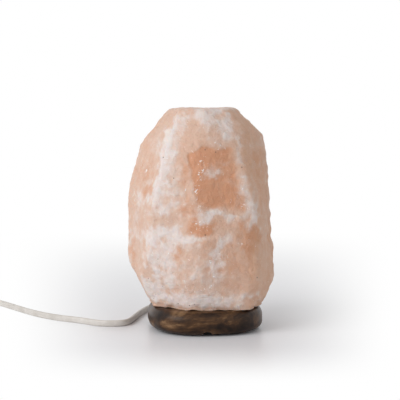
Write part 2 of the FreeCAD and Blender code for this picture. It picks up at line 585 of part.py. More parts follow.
def make_plug():
    relief = solid("Cone", "ReliefCone", ("0", "0", "0"), Radius1="reliefThin", Radius2="reliefThick",
                   Height="reliefLong")
    relief.Placement.Rotation = Rotation(Vector(0, 1, 0), 90)
    rings_cut = []
    for number in range(4):
        along = f"4 + {number} * 4"
        ring = solid("Torus", "ReliefRing", (along, "0", "0"), Radius2="0.8",
                     Radius1=f"reliefThin + (reliefThick - reliefThin) * ({along}) / reliefLong + 0.2")
        ring.Placement.Rotation = Rotation(Vector(0, 1, 0), 90)
        rings_cut.append(ring)
    keep("plug_strain_relief", on_plug(cut("PlugRelief", relief, rings_cut)))

    half_plan = [("reliefLong", "reliefThick + 0.4"), ("reliefLong + 8", "9.5"), ("reliefLong + 22", "plugHalf"),
                 ("plugEnd", "plugHalf")]
    corners = half_plan + [(x, f"-({y})") for x, y in half_plan[::-1]]
    body = padded("PlugPad", "XY_Plane", corners, "plugThick")
    end = size("plugEnd")
    soft = softened("PlugSoft", body, [
        (lambda edge: edge.ZLength > 5 and edge.XMin > size("reliefLong + 7"), "3"),
        (lambda edge: edge.ZLength < 0.1 and edge.XMax > size("reliefLong + 0.1") and edge.XMin < end - 0.1, "3.5")])
    holes, pins, sleeves = [], [], []
    for side in (-1, 1):
        y = f"{side} * pinHalf"
        holes.append(rod("PinHole", ("pinRoot - 0.1", y, "0"), "pinNeck + 0.05", "20", "+X"))
        neck = rod("PinNeck", ("pinRoot", y, "0"), "pinNeck", "pinTip - pinRoot + 1", "+X")
        tip = rod("PinTip", ("pinTip", y, "0"), "pinRadius", "pinEnd - pinTip - 1", "+X")
        point = solid("Cone", "PinPoint", ("pinEnd - 1", y, "0"), Radius1="pinRadius", Radius2="pinRadius - 0.8",
                      Height="1")
        point.Placement.Rotation = Rotation(Vector(0, 1, 0), 90)
        pins.append(fused("PlugPin", [neck, tip, point]))
        tube = rod("SleeveOut", ("plugEnd", y, "0"), "pinRadius", "pinTip - plugEnd", "+X")
        sleeves.append(cut("PinSleeve", tube, [rod("SleeveIn", ("plugEnd - 1", y, "0"), "pinNeck + 0.05",
                                                   "20", "+X")]))
    keep("plug_body", on_plug(cut("PlugBody", soft, holes)))
    keep("plug_pins", on_plug(group("PlugPins", pins)))
    keep("pin_sleeves", on_plug(group("PinSleeves", sleeves)))


# ---------------------------------------------------------------- cord
# Points of the cord's route, x, y and height of its middle.
lamp_route = [
    (6, -3, 17), (6, -3, 4.2), (6.4, 12, 4.2), (5.8, 30, 4.3), (6.3, 49, 4.1), (4.5, 66, 2.9), (-4, 80, 2.8),
    (-18, 88.5, 2.8), (-34, 86, 2.8), (-45.5, 74, 2.8), (-51.5, 57, 2.8), (-56, 38, 2.8), (-59.5, 16, 2.8),
    (-64, -7.5, 2.8), (-86, -10, 2.8), (-105, 6, 2.8), (-126, 17, 2.8), (-146, 34, 2.8), (-163, 55, 2.8),
    (-178, 75.5, 2.8), (-191, 92.5, 2.8), (-203, 105.5, 3.4), (-216.8, 110.3, 5.4), (-229.9, 112.2, 6)]
switch_route = [
    (-273.5, 118.4, 6), (-286.4, 120.5, 5.8), (-299.6, 118.6, 4.8), (-310.8, 111.2, 3.6), (-317.4, 99.4, 2.9),
    (-319.3, 85, 3), (-319, 71, 3.6), (-319, 57, 3.6)]
tail_route = [(-319, 57, 9.2), (-318.5, 45, 8.6), (-313.1, 32, 7.2), (-313, 18, 6.85)]


def cord_tube(node, route):
    """Tube along straight runs joined by tangent arcs, each as large as its two runs allow."""
    radius = size("cordRadius")
    spots = [Vector(*point) for point in route]
    edges, start, bends = [], spots[0], []
    for before, corner, after in zip(spots, spots[1:], spots[2:]):
        come, go = (corner - before).normalize(), (after - corner).normalize()
        half_turn = come.getAngle(go) / 2
        reach = 0.45 * min((corner - before).Length, (after - corner).Length)
        bends.append(reach / math.tan(half_turn))
        enter, leave = corner - come * reach, corner + go * reach
        inward = (go - come).normalize()
        crown = corner + inward * (bends[-1] * (1 / math.cos(half_turn) - 1))
        edges.append(Part.LineSegment(start, enter).toShape())
        edges.append(Part.Arc(enter, crown, leave).toShape())
        start = leave
    edges.append(Part.LineSegment(start, spots[-1]).toShape())
    path = Part.Wire(edges)
    ring = Part.Wire(Part.makeCircle(radius, spots[0], spots[1] - spots[0]))
    tube = path.makePipeShell([ring], True, True)
    share = tube.Volume / (math.pi * radius ** 2 * path.Length)
    print(f"{node}: {path.Length:.0f} mm, volume over section times length {share:.4f}, bends",
          " ".join(f"{bend:.0f}" for bend in bends))
    keep(node, feature(node, tube))


def make_cord():
    cord_tube("cord_to_lamp", lamp_route)
    cord_tube("cord_to_coil", switch_route)
    cord_tube("cord_to_plug", tail_route)
    half, high = "coilTurnsWide * cordRadius", "coilLayers * 2 * cordRadius"
    at = ("coilX", "coilY", "coilLow")
    ring = cut("CoilRing", rod("CoilOuter", at, f"coilRadius + {half}", high),
               [rod("CoilInner", ("coilX", "coilY", "coilLow - 1"), f"coilRadius - {half}", f"{high} + 2")])
    keep("cord_coil", softened("CordCoil", ring, [(lambda edge: edge.ZLength < 0.1, "cordRadius * 0.9")]))

    # flat tie round the coil's section
    wide, gap = "2 * coilTurnsWide * cordRadius", "tieGap"
    outer = middle_box("TieOuter", "coilRadius", 0, "coilLow - tieGap - tieThick",
                       f"{wide} + 2 * (2.5 * {gap} + tieThick)", "tieWide", f"{high} + 2 * ({gap} + tieThick)")
    inner = middle_box("TieInner", "coilRadius", 0, f"coilLow - {gap}", f"{wide} + 5 * {gap}",
                       "tieWide + 2", f"{high} + 2 * {gap}")
    tie = softened("TieRounded", cut("TieLoop", outer, [inner]), [(lambda edge: edge.YLength > 4.9, "0.5")])
    keep("coil_tie", moved(tie, size("coilX"), size("coilY"), 0, size("tieTurn")))


make_base()
make_crystal()
make_holder()
make_clip()
make_bulb()
make_switch()
make_plug()
make_cord()
doc.recompute()

# ---------------------------------------------------------------- checks and export
faults = [item.Name for item in doc.Objects if {"Invalid", "Error"} & set(item.State)]
for node, part in nodes.items():
    if part.Shape.isNull() or not part.Shape.isValid() or part.Shape.Volume <= 0:
        faults.append(node)
if faults:
    raise RuntimeError("failed: " + ", ".join(faults))

os.makedirs("parts", exist_ok=True)
for node, part in nodes.items():
    part.Shape.exportStep(f"parts/{node}.step")
lamp = Part.makeCompound([part.Shape for node, part in nodes.items() if node in ("salt_crystal", "wood_base")])
print(len(nodes), "nodes; lamp body", lamp.BoundBox)
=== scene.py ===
import json
import math

import bmesh
import bpy
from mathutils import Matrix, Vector, noise


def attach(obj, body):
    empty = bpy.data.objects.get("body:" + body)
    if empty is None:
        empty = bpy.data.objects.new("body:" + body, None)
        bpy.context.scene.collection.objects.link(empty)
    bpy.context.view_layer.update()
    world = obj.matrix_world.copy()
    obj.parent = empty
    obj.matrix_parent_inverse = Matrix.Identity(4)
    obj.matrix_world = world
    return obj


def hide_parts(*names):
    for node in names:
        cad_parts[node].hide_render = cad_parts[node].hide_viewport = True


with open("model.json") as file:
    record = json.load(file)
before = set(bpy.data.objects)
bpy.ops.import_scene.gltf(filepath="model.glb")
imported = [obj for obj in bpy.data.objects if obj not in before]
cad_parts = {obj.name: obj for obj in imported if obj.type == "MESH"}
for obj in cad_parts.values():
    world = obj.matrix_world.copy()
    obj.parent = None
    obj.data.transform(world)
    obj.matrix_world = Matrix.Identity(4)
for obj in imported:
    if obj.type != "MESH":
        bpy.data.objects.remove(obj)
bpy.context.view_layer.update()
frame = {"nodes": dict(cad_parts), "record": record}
nodes = frame["nodes"]
world = bpy.context.scene
mm = 0.001
noise.seed_set(11)
print("frame loaded,", len(nodes), "nodes")


# small helpers for meshes
def linked(name, mesh):
    made = bpy.data.objects.new(name, mesh)
    world.collection.objects.link(made)
    return made


def meshFrom(name, bm):
    bmesh.ops.recalc_face_normals(bm, faces=bm.faces)
    mesh = bpy.data.meshes.new(name)
    bm.to_mesh(mesh)
    bm.free()
    made = linked(name, mesh)
    smoothAll(made)
    return made


def smoothAll(piece):
    piece.data.polygons.foreach_set("use_smooth", [True] * len(piece.data.polygons))


def baked(piece):
    # the piece with its modifiers made real
    graph = bpy.context.evaluated_depsgraph_get()
    mesh = bpy.data.meshes.new_from_object(piece.evaluated_get(graph))
    piece.modifiers.clear()
    piece.data = mesh
    return piece


def remeshedCopy(node, name, voxel):
    # an even skin of small quads over a CAD solid, ready to be carved
    bm = bmesh.new()
    bm.from_mesh(nodes[node].data)
    bmesh.ops.remove_doubles(bm, verts=bm.verts, dist=2e-6)
    mesh = bpy.data.meshes.new(name)
    bm.to_mesh(mesh)
    bm.free()
    mesh.materials.clear()
    piece = linked(name, mesh)
    skin = piece.modifiers.new("skin", "REMESH")
    skin.mode = "VOXEL"
    skin.voxel_size = voxel
    baked(piece)
    smoothAll(piece)
    return piece


def smoothStep(low, high, value):
    t = min(1.0, max(0.0, (value - low) / (high - low)))
    return t * t * (3 - 2 * t)


# small helpers for materials
def node(tree, kind, inputs=None, **props):
    made = tree.nodes.new("ShaderNode" + kind)
    for key, value in props.items():
        setattr(made, key, value)
    for key, value in (inputs or {}).items():
        if isinstance(value, bpy.types.NodeSocket):
            tree.links.new(value, made.inputs[key])
        else:
            made.inputs[key].default_value = value
    return made


def sums(tree, operation, a, b=0.0, c=0.0, clamp=False):
    return node(tree, "Math", {0: a, 1: b, 2: c}, operation=operation, use_clamp=clamp).outputs[0]


def colorMix(tree, factor, a, b):
    return node(tree, "Mix", {0: factor, 6: a, 7: b}, data_type="RGBA").outputs[2]


def ramp(tree, factor, stops):
    made = node(tree, "ValToRGB", {0: factor})
    points = made.color_ramp.elements
    while len(points) < len(stops):
        points.new(0.5)
    for point, (at, color) in zip(points, stops):
        point.position = at
        point.color = (*color, 1)
    return made.outputs[0]


def grey(value):
    return (value, value, value, 1)


def backdropRays(tree):
    # rays that meet the backdrop from the camera, off gloss or through glass
    path = node(tree, "LightPath")
    either = sums(tree, "MAXIMUM", path.outputs["Is Camera Ray"], path.outputs["Is Glossy Ray"])
    return sums(tree, "MAXIMUM", either, path.outputs["Is Transmission Ray"])


def objectNoise(tree, scale, detail=4.0, rough=0.55, distortion=0.0, stretch=(1, 1, 1), shift=(0, 0, 0)):
    coords = node(tree, "TexCoord").outputs["Object"]
    placed = node(tree, "Mapping", {0: coords, 1: shift, 3: stretch}).outputs[0]
    made = node(tree, "TexNoise", {"Vector": placed, "Scale": scale, "Detail": detail, "Roughness": rough,
                                   "Distortion": distortion})
    return made.outputs[0]


def newMaterial(name, **sockets):
    material = bpy.data.materials.new(name)
    material.use_nodes = True
    tree = material.node_tree
    tree.nodes.clear()
    shader = node(tree, "BsdfPrincipled")
    for key, value in sockets.items():
        shader.inputs[key.replace("_", " ")].default_value = value
    node(tree, "OutputMaterial", {"Surface": shader.outputs[0]})
    return material, tree, shader


def dress(piece, material):
    piece.data.materials.clear()
    piece.data.materials.append(material)


# camera at the photograph's angle
cameraPlan = {"at": (0.0, -0.944, 0.184), "aim": (0.0, 0.006, 0.1093), "lens": 98.016}
cameraData = bpy.data.cameras.new("camera")
cameraData.lens = cameraPlan["lens"]
cameraData.sensor_width = 36
camera = bpy.data.objects.new("camera", cameraData)
world.collection.objects.link(camera)
camera.location = cameraPlan["at"]
camera.rotation_euler = (Vector(cameraPlan["aim"]) - camera.location).to_track_quat("-Z", "Y").to_euler()
world.camera = camera
print("camera set")

# the cord: one flat flex from the holder to the switch, one from the switch through the coil to the plug
cordPlan = {
    "wide": 5.6 * mm, "thick": 3.6 * mm, "sides": 16, "fullness": 2.6, "waist": 0.07, "waistWidth": 0.22,
    "tints": [(0.35, (0.58, 0.545, 0.50)), (0.7, (0.72, 0.685, 0.645))],
    "lampRoute": [
        (6, -3, 17), (6, -3, 4.2), (6.4, 12, 4.2), (5.8, 30, 4.3), (6.3, 49, 4.1), (4.5, 66, 2.9),
        (-4, 80, 2.8), (-18, 88.5, 2.8), (-34, 86, 2.8), (-45.5, 74, 2.8), (-51.5, 57, 2.8), (-56, 38, 2.8),
        (-59.5, 16, 2.8), (-64, -7.5, 2.8), (-86, -10, 2.8), (-105, 6, 2.8), (-126, 17, 2.8),
        (-146, 34, 2.8), (-163, 55, 2.8), (-178, 75.5, 2.8), (-191, 92.5, 2.8), (-203, 105.5, 3.4),
        (-216.8, 110.3, 5.4), (-229.9, 112.2, 6)],
    "coilRoute": [
        (-273.5, 118.4, 6), (-286.4, 120.5, 5.8), (-299.6, 118.6, 4.8), (-310.8, 111.2, 3.6),
        (-317.4, 99.4, 2.9), (-319.3, 85, 3), (-319, 71, 3.6)],
    "tailRoute": [(-318.5, 45, 8.6), (-313.1, 32, 7.2), (-313, 18, 6.85)],
    "coilAt": (-282.4, 57), "coilRadii": (36.6, 31, 25.4), "coilHeights": (3.6, 9.2), "perTurn": 14,
}


def coilPoints():
    # out to in on the lower layer, then in to out on the upper one, counter-clockwise
    x, y = cordPlan["coilAt"]
    low, high = cordPlan["coilHeights"]
    count = cordPlan["perTurn"]
    radii = list(cordPlan["coilRadii"])
    stretch = 1 / (0.75 + 0.25 * math.cos(2 * math.pi / count))
    points = []
    for height, rings in ((low, radii), (high, radii[::-1])):
        for turn, radius in enumerate(rings):
            after = rings[min(turn + 1, 2)]
            for step in range(count):
                angle = math.pi + 2 * math.pi * step / count
                reach = radius + (after - radius) * smoothStep(0.55, 1.0, step / count)
                rise = (high - low) * smoothStep(0.7, 1.0, step / count) if height == low and turn == 2 else 0
                points.append((x + reach * stretch * math.cos(angle), y + reach * stretch * math.sin(angle),
                               height + rise))
    points.append((x - radii[0] * stretch, y, high))
    return points


def splinePoints(name, route):
    # the line of one smooth spline with these control points
    curve = bpy.data.curves.new(name, "CURVE")
    curve.dimensions = "3D"
    curve.resolution_u = 10
    spline = curve.splines.new("NURBS")
    spline.points.add(len(route) - 1)
    for point, place in zip(spline.points, route):
        point.co = (*(Vector(place) * mm), 1)
    spline.order_u = 3
    spline.use_endpoint_u = True
    holder = linked(name, curve)
    graph = bpy.context.evaluated_depsgraph_get()
    mesh = bpy.data.meshes.new_from_object(holder.evaluated_get(graph))
    line = [vertex.co.copy() for vertex in mesh.vertices]
    bpy.data.meshes.remove(mesh)
    bpy.data.objects.remove(holder)
    return line


def flatFlex(name, route):
    # a rounded flat section carried along the line, standing on edge
    line = splinePoints(name + "Line", route)
    full, thick, wide = cordPlan["fullness"], cordPlan["thick"], cordPlan["wide"]
    bm = bmesh.new()
    ring = bmesh.ops.create_circle(bm, segments=cordPlan["sides"], radius=1)["verts"]
    for vertex in ring:
        x, y, _ = vertex.co
        fuller = (abs(x) ** full + abs(y) ** full) ** (-1 / full)
        waist = 1 - cordPlan["waist"] * math.exp(-(y / cordPlan["waistWidth"]) ** 2)
        vertex.co = Vector((x * fuller * waist * thick / 2, y * fuller * wide / 2, 0))
    bmesh.ops.contextual_create(bm, geom=ring)
    cap = bm.faces[:][0]
    edges = list(cap.edges)
    current = [loop.vert for loop in cap.loops]
    section = [vertex.co.copy() for vertex in current]
    heading = (line[1] - line[0]).normalized()
    up = Vector((0, 1, 0)) if abs(heading.z) > 0.9 else Vector((0, 0, 1))
    up = (up - heading * up.dot(heading)).normalized()
    for i, spot in enumerate(line):
        before = line[max(i - 1, 0)]
        after = line[min(i + 1, len(line) - 1)]
        heading = (after - before).normalized()
        up = (up - heading * up.dot(heading)).normalized()
        side = up.cross(heading)
        if i:
            grown = bmesh.ops.extrude_edge_only(bm, edges=edges)["geom"]
            fresh = [item for item in grown if isinstance(item, bmesh.types.BMVert)]
            edges = [item for item in grown if isinstance(item, bmesh.types.BMEdge)
                     and all(vertex in fresh for vertex in item.verts)]
            partner = {}
            for vertex in fresh:
                for edge in vertex.link_edges:
                    other = edge.other_vert(vertex)
                    if other not in fresh:
                        partner[other] = vertex
            current = [partner[vertex] for vertex in current]
        for vertex, corner in zip(current, section):
            vertex.co = spot + side * corner.x + up * corner.y
    bmesh.ops.contextual_create(bm, geom=current)
    return meshFrom(name, bm), line


def flexMaterial():
    material, tree, shader = newMaterial("flexJacket", Roughness=0.42, Specular_IOR_Level=0.4)
    dust = objectNoise(tree, 70, 5, 0.6)
    fine = objectNoise(tree, 900, 3, 0.6)
    tree.links.new(ramp(tree, dust, cordPlan["tints"]), shader.inputs["Base Color"])
    bump = node(tree, "Bump", {"Strength": 0.25, "Distance": 0.0002, "Height": fine})
    tree.links.new(bump.outputs[0], shader.inputs["Normal"])
    rough = node(tree, "MapRange", {0: dust, 3: 0.36, 4: 0.52}).outputs[0]
    tree.links.new(rough, shader.inputs["Roughness"])
    return material


cordMaterial = flexMaterial()
lampCord, lampLine = flatFlex("cord_lamp_side", cordPlan["lampRoute"])
dress(lampCord, cordMaterial)
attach(lampCord, "cord_set")
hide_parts("cord_to_lamp")

plugCord, plugLine = flatFlex("cord_plug_side", cordPlan["coilRoute"] + coilPoints() + cordPlan["tailRoute"])
dress(plugCord, cordMaterial)
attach(plugCord, "cord_set")
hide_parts("cord_to_coil", "cord_coil", "cord_to_plug")
print("cords laid")

# salt crystal: the chiselled solid gets its scoops, flutes, chips and clouds
saltPlan = {
    "voxel": 1.1 * mm, "bottom": 20.5 * mm, "axis": (6 * mm, -3 * mm),
    "boreRadius": 26 * mm, "boreTop": 118 * mm,
    "dowelTop": 52 * mm, "dowelReach": 31 * mm, "dowelRoom": 6 * mm,
    "leftRidge": [(190, -18), (173, -23), (148, -31), (126, -35.5), (101, -41), (80, -45), (60, -47),
                  (20, -50)],
    "rightRidge": [(190, 23), (165, 31), (134, 39), (101, 46), (80, 49), (20, 52)],
    "rounds": {"skin": 10, "front": 300, "shoulder": 130, "last": 4, "edges": 14},  # of smoothing
    "layers": ("milk", "clear", "warm", "worn", "glint", "grit"),  # what the mesh tells the material
    # carving in millimetres, each with its scale
    "lump": (0.8, 40), "flute": (0.75, (70, 70, 120)), "ripple": (0.6, 210), "grain": (0.2, 480),
    "cup": (0.55, (110, 110, 80)), "ease": 0.25, "footDepth": 0.8, "footHeight": 9, "rim": 1.5, "sectors": 12,
    "scoops": [  # middle x, y, z, half sizes, depth, how steep the rim is, how clear the salt shows
        ((14, -50, 128), (34, 26, 34), 1.2, 2, 0.0),
        ((-14, -50, 136), (13, 22, 22), 0.9, 3, -0.1),
        ((-17, -46, 92), (19, 22, 16), 1.2, 2, 0.0),
        ((24, -48, 56), (24, 22, 24), 1.4, 3, 0.18),
        ((-42, -30, 134), (12, 18, 26), 1.0, 3, 0.12),
        ((52, -18, 128), (12, 22, 34), 1.2, 3, 0.1),
        ((-22, -48, 62), (18, 20, 14), 0.9, 2, 0.0),
        ((10, 52, 120), (26, 20, 30), 1.8, 3, 0.4),
        ((-30, 46, 70), (22, 20, 24), 1.6, 3, 0.1),
        ((44, 30, 84), (16, 18, 26), 1.4, 3, 0.1)],
    "chip": {  # the big clear chip in front: edges through x, z, facing x, z, and how soft each one is
        "edges": [((-14, 150), (0.50, -0.87), 1.8), ((-12, 146), (0.96, 0.28), 3),
                  ((33, 158), (-0.97, -0.23), 14), ((8, 104), (0.1, 1.0), 9), ((8, 162), (-0.15, -0.99), 7)],
        "depth": 0.7, "clear": 0.8},
    "clouds": [  # milky patches: middle x, y, z, half sizes, strength
        ((-26, -42, 160), (6, 24, 15), 0.75), ((-32, -40, 142), (7, 24, 15), 0.8),
        ((-34, -42, 122), (10, 24, 13), 0.85), ((-30, -44, 108), (14, 24, 9), 0.65),
        ((-20, -46, 124), (8, 24, 20), 0.35), ((10, -44, 183), (20, 26, 9), 0.8),
        ((-18, -42, 180), (8, 26, 8), 0.5), ((26, -42, 172), (9, 24, 12), 0.7),
        ((20, -46, 160), (12, 24, 7), 0.35), ((34, -42, 150), (6, 24, 12), 0.6),
        ((38, -42, 128), (5, 24, 14), 0.55), ((30, -46, 136), (7, 24, 12), 0.2),
        ((11, -50, 137), (8, 20, 7), 0.8), ((8, -50, 132), (6, 20, 4), 0.8),
        ((22, -50, 145), (4, 20, 4), 0.6), ((26, -50, 126), (8, 20, 5), 0.4),
        ((3, -50, 100), (8, 20, 5), 0.75), ((13, -50, 103), (10, 20, 5), 0.9),
        ((24, -50, 99), (8, 20, 4), 0.9), ((34, -46, 112), (7, 22, 6), 0.5),
        ((42, -42, 104), (8, 22, 11), 0.55), ((44, -40, 92), (5, 22, 7), 0.45),
        ((17, -50, 72), (5, 20, 12), 0.8), ((12, -50, 64), (7, 20, 8), 0.8),
        ((20, -50, 78), (6, 20, 8), 0.6), ((-38, -42, 84), (10, 24, 10), 0.95),
        ((-22, -46, 84), (15, 24, 7), 0.9), ((-32, -44, 70), (16, 24, 14), 0.75),
        ((-4, -50, 82), (8, 20, 5), 0.55), ((-12, -50, 70), (8, 20, 8), 0.3),
        ((-24, -46, 46), (22, 24, 8), 0.5), ((4, -50, 50), (22, 24, 7), 0.4),
        ((-28, -44, 68), (24, 26, 34), 0.4), ((2, -48, 40), (46, 30, 20), 0.35),
        ((4, -44, 178), (34, 30, 14), 0.4), ((-26, -44, 120), (16, 26, 34), 0.35),
        ((16, -48, 70), (22, 24, 22), 0.25), ((40, -42, 110), (12, 24, 20), 0.35),
        ((-52, -26, 100), (12, 28, 44), 0.35), ((-40, -34, 158), (14, 26, 26), 0.35),
        ((-6, -48, 29), (50, 60, 9), 0.93), ((-42, -36, 38), (10, 26, 16), 0.85),
        ((-54, -24, 112), (7, 24, 14), 0.5), ((-58, -14, 84), (6, 26, 18), 0.45),
        ((-48, -30, 160), (10, 24, 12), 0.4), ((56, -16, 96), (8, 26, 40), 0.3),
        ((50, -28, 160), (8, 26, 14), 0.3), ((20, 50, 56), (34, 26, 20), 0.8),
        ((-10, 52, 150), (28, 26, 26), 0.7), ((54, 20, 146), (20, 24, 28), 0.6),
        ((-56, 20, 60), (22, 26, 26), 0.7), ((-36, 44, 30), (34, 30, 12), 0.7),
        ((44, 40, 34), (30, 30, 16), 0.6), ((-50, 30, 150), (16, 24, 30), 0.5),
        ((56, 8, 44), (18, 16, 18), 0.6), ((54, 12, 106), (16, 14, 14), 0.5),
        ((-20, 50, 100), (12, 26, 18), 0.5), ((10, 0, 192), (44, 44, 7), 0.5)],
    "windows": [  # clear deep orange patches
        ((0, -50, 138), (14, 20, 13), 0.2), ((-13, -50, 134), (5, 20, 20), 0.4),
        ((-10, -50, 112), (4, 20, 10), 0.4), ((0, -52, 92), (9, 20, 8), 0.9),
        ((-6, -52, 104), (7, 20, 8), 0.35), ((42, -44, 82), (14, 20, 12), 0.7),
        ((-17, -48, 68), (5, 20, 5), 0.6), ((6, -50, 74), (10, 20, 8), 0.35),
        ((-53, -24, 138), (7, 24, 16), 0.4), ((-58, -14, 66), (6, 24, 12), 0.4),
        ((24, -50, 54), (14, 20, 16), 0.2), ((54, -22, 134), (9, 26, 34), 0.3),
        ((-44, -34, 122), (7, 20, 12), 0.35), ((-27, -44, 98), (12, 20, 6), 0.2),
        ((12, 50, 96), (24, 24, 28), 0.7), ((-44, 36, 112), (22, 24, 28), 0.6),
        ((58, 8, 72), (22, 22, 22), 0.75), ((36, 40, 160), (20, 24, 18), 0.5),
        ((-20, 50, 54), (16, 24, 16), 0.5)],
    "paintedGlintSpots": [  # clusters of tiny glints, painted white into the colour as highlights
        ((1, -50, 138), (4, 20, 12), 1.0), ((-3, -50, 123), (4, 20, 8), 1.0),
        ((1, -50, 108), (4, 20, 5), 0.7), ((0, -50, 92), (9, 20, 7), 0.7),
        ((14, -50, 66), (10, 20, 8), 0.8), ((-50, -26, 142), (7, 24, 12), 0.9),
        ((-56, -18, 112), (5, 24, 8), 0.8), ((14, -46, 160), (6, 20, 6), 0.7),
        ((-36, -42, 60), (12, 24, 16), 0.4), ((-6, -50, 40), (26, 20, 8), 0.6),
        ((34, -46, 104), (10, 20, 16), 0.4), ((-30, -40, 140), (5, 20, 14), 0.5),
        ((0, 50, 110), (40, 30, 40), 0.5), ((50, 20, 70), (14, 24, 20), 0.5)],
    "grit": [  # dark specks of clay
        ((-21, -30, 182), (9, 30, 8), 1.0), ((-38, -38, 36), (8, 24, 8), 1.0),
        ((-24, -46, 30), (14, 24, 6), 0.5)],
    "salmon": [(0.35, (0.705, 0.45, 0.33)), (0.65, (0.715, 0.495, 0.385))],
    "tints": {
        # the two tan tints are painted shade for faces turned to the right
        "deep": (0.655, 0.325, 0.19), "tan": (0.71, 0.42, 0.27), "deepTan": (0.65, 0.335, 0.19),
        "pale": (0.75, 0.58, 0.49), "white": (0.81, 0.73, 0.70), "clay": (0.10, 0.06, 0.045),
        # the near-white last tint paints highlights on the glints
        "glint": (1.0, 0.98, 0.97)},
}


def along(line, height):
    # position of a ridge at a height, read off its list of (height, x)
    for (z1, x1), (z0, x0) in zip(line, line[1:]):
        if height >= z0:
            return x0 + (x1 - x0) * min(1, (height - z0) / (z1 - z0))
    return line[-1][1]


def ellipse(place, middle, half):
    return math.sqrt(sum(((place[i] - middle[i]) / half[i]) ** 2 for i in range(3)))


def patches(place, spots, fray):
    # ragged patches laid over each other
    left = 1.0
    for middle, half, strength in spots:
        left *= 1 - strength * smoothStep(-0.45, 0.75, 1 - ellipse(place, middle, half) + fray)
    return 1 - left


def ridgeFrostAndHighlight(place):
    # the white band that starts sharply at the left ridge and fades across the front: the broad part is white
    # frosting in the salt, the narrow bright line at the crest is a painted highlight
    across = place.x - along(saltPlan["leftRidge"], place.z)
    if place.y > -20 or not -2 < across < 15:
        return 0.0
    span = smoothStep(96, 116, place.z) * smoothStep(190, 172, place.z)
    broad, crestHighlight = smoothStep(15, 9, across), smoothStep(5, 0.5, across)
    return span * smoothStep(-1.6, 0.2, across) * (0.6 * broad + 0.5 * crestHighlight)


def chipped(place):
    # how far inside the big chip a spot lies, 0 to 1
    inside = 1.0
    for (x, z), (facingX, facingZ), soft in saltPlan["chip"]["edges"]:
        inside *= smoothStep(0, soft, (place.x - x) * facingX + (place.z - z) * facingZ)
    return inside if place.y < -20 else 0.0


def relaxed(bm, verts, rounds):
    for _ in range(rounds):
        bmesh.ops.smooth_vert(bm, verts=verts, factor=0.5, use_axis_x=True, use_axis_y=True, use_axis_z=True)
    bm.normal_update()


def scaled(co, by):
    return Vector((co.x * by[0], co.y * by[1], co.z * by[2]))


def onSkin(vertex):
    # the outer surface, away from the bore, the dowel holes and the flat underside
    x, y, z = vertex.co
    axisX, axisY = saltPlan["axis"]
    room = saltPlan["dowelRoom"]
    bore = math.hypot(x - axisX, y - axisY) < saltPlan["boreRadius"] and z < saltPlan["boreTop"]
    beside = abs(abs(x - axisX) - saltPlan["dowelReach"]) < room and abs(y - axisY) < room
    dowel = z < saltPlan["dowelTop"] and beside
    floor = z < saltPlan["bottom"] + 0.6 * mm and vertex.normal.z < -0.8
    return not (bore or dowel or floor)


def onFront(co):
    # between the two long ridges, where the facets flow into each other
    high = co.z / mm
    left = along(saltPlan["leftRidge"], high) + 4
    right = along(saltPlan["rightRidge"], high) - 3 + 14 * smoothStep(100, 75, high)
    return co.y < -20 * mm and left < co.x / mm < right and 23 < high < 184


def onShoulder(co):
    return co.x > 22 * mm and 138 * mm < co.z < 186 * mm


def sector(x, y):
    # which slice round the axis a spot lies in
    axisX, axisY = saltPlan["axis"]
    return round(math.atan2(y - axisY, x - axisX) * saltPlan["sectors"])


def fromAxis(x, y):
    axisX, axisY = saltPlan["axis"]
    return math.hypot(x - axisX, y - axisY)


def footReach(skin):
    # how far out the foot stands in each sector
    reach = {}
    for vertex in skin:
        x, y, z = vertex.co
        if z < saltPlan["bottom"] + 5 * mm:
            reach[sector(x, y)] = max(reach.get(sector(x, y), 0), fromAxis(x, y))
    return reach


def surfaceShift(co, normal, bend):
    # lumps, flutes, ripples, grain and shallow cups, in millimetres along the normal
    depth, scale = saltPlan["lump"]
    shift = depth * noise.noise(co * scale)
    depth, scale = saltPlan["flute"]
    shift += depth * (0.45 + 0.8 * smoothStep(0.2, 0.9, normal.x)) * noise.noise(scaled(co, scale))
    for name in ("ripple", "grain"):
        depth, scale = saltPlan[name]
        shift += depth * noise.noise(co * scale)
    depth, scale = saltPlan["cup"]
    cells = noise.voronoi(scaled(co, scale) + bend * 0.5)[0]
    broad = smoothStep(-0.25, 0.35, noise.noise(co * 26 + Vector((4, 4, 4))))
    return shift + depth * (cells[0] - 0.5) * (0.3 + 0.7 * broad)


def carved(vertex, layers):
    # how far one vertex moves, and what the material has to know there
    co, normal = vertex.co, vertex.normal
    point = co / mm
    bend = noise.noise_vector(co * 60)
    warped = point + bend * 5 + noise.noise_vector(co * 160) * 1.2
    shift = surfaceShift(co, normal, bend)
    clear = 0.0
    for middle, half, depth, steep, window in saltPlan["scoops"]:
        r = ellipse(warped, middle, half)
        if r < 1:
            shift -= depth * (1 - r ** steep)
            clear += window * smoothStep(0, 0.14, 1 - r)
    chip = chipped(point + bend * 4.2 + noise.noise_vector(co * 110) * 2.8)
    shift -= saltPlan["chip"]["depth"] * chip
    clear += saltPlan["chip"]["clear"] * chip
    foot = smoothStep(saltPlan["footHeight"], 0, point.z - saltPlan["bottom"] / mm)
    fray = 0.55 * noise.fractal(point * 0.13, 0.8, 2.1, 4)
    milk = patches(warped, saltPlan["clouds"], fray)
    # the ridge band is partly white frosting, partly a painted highlight on the crest
    vertex[layers["milk"]] = max(milk, ridgeFrostAndHighlight(point + bend * 1.5))
    vertex[layers["clear"]] = min(1, max(0, clear + patches(warped, saltPlan["windows"], -fray)))
    # painted shade: faces turned to the right, away from the window, get a darker tan colour
    vertex[layers["warm"]] = smoothStep(0.0, 0.8, normal.x)
    # painted highlight: where the glints are painted
    vertex[layers["glint"]] = patches(point, saltPlan["paintedGlintSpots"], 0.0)
    vertex[layers["grit"]] = patches(point, saltPlan["grit"], 0.0)
    return normal * (shift - saltPlan["ease"] - saltPlan["footDepth"] * foot * foot) * mm


